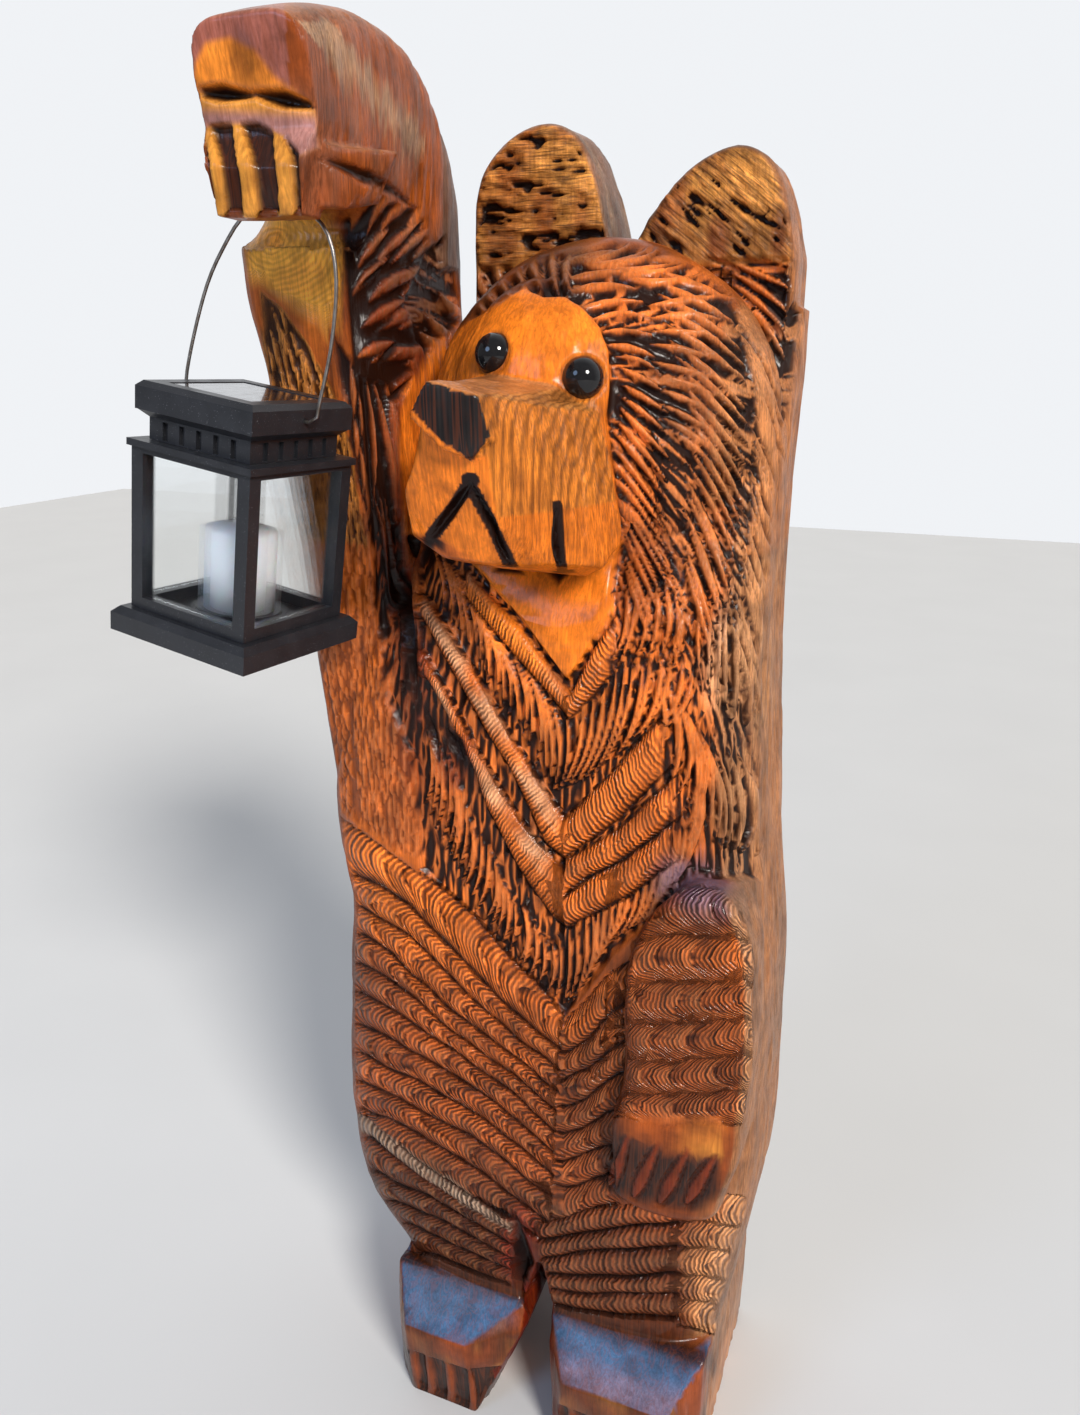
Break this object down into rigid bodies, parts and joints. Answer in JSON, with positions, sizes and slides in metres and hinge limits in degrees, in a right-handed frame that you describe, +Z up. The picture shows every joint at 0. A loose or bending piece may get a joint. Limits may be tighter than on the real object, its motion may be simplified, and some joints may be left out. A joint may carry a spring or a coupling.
{
  "type": "chainsaw carved bear",
  "caption": "Standing bear carved from a log with a chainsaw, a paw raised over a small solar candle lantern on a wire bail, with saw-cut locks and rolls of fur.",
  "frame": {"origin": "middle of the whole part's bounding box, on the ground under the feet", "axes": "+Z up, -Y the way the bear faces, +X the bear's left side, which is on the viewer's right"},
  "size_m": [0.4954, 0.3614, 1.2505],
  "materials": {
    "varnished_wood": "scorched in the cuts and varnished to a gloss",
    "eye_gloss": "glossy black",
    "steel_wire": "dull bright wire",
    "black_plastic": "satin, moulded",
    "solar_cell": "dark cell under a clear face",
    "candle_wax": "smooth, slightly waxy",
    "clear_pane": "clear with faint smears"
  },
  "bodies": {
    "root": {"bear": "varnished_wood", "right_eye": "eye_gloss", "left_eye": "eye_gloss", "hook": "steel_wire", "bail": "steel_wire", "lantern_base": "black_plastic", "lantern_frame": "black_plastic", "lantern_cap": "black_plastic", "solar_panel": "solar_cell", "candle": "candle_wax", "pane_front": "clear_pane", "pane_right": "clear_pane", "pane_back": "clear_pane", "pane_left": "clear_pane"}
  },
  "joints": []
}
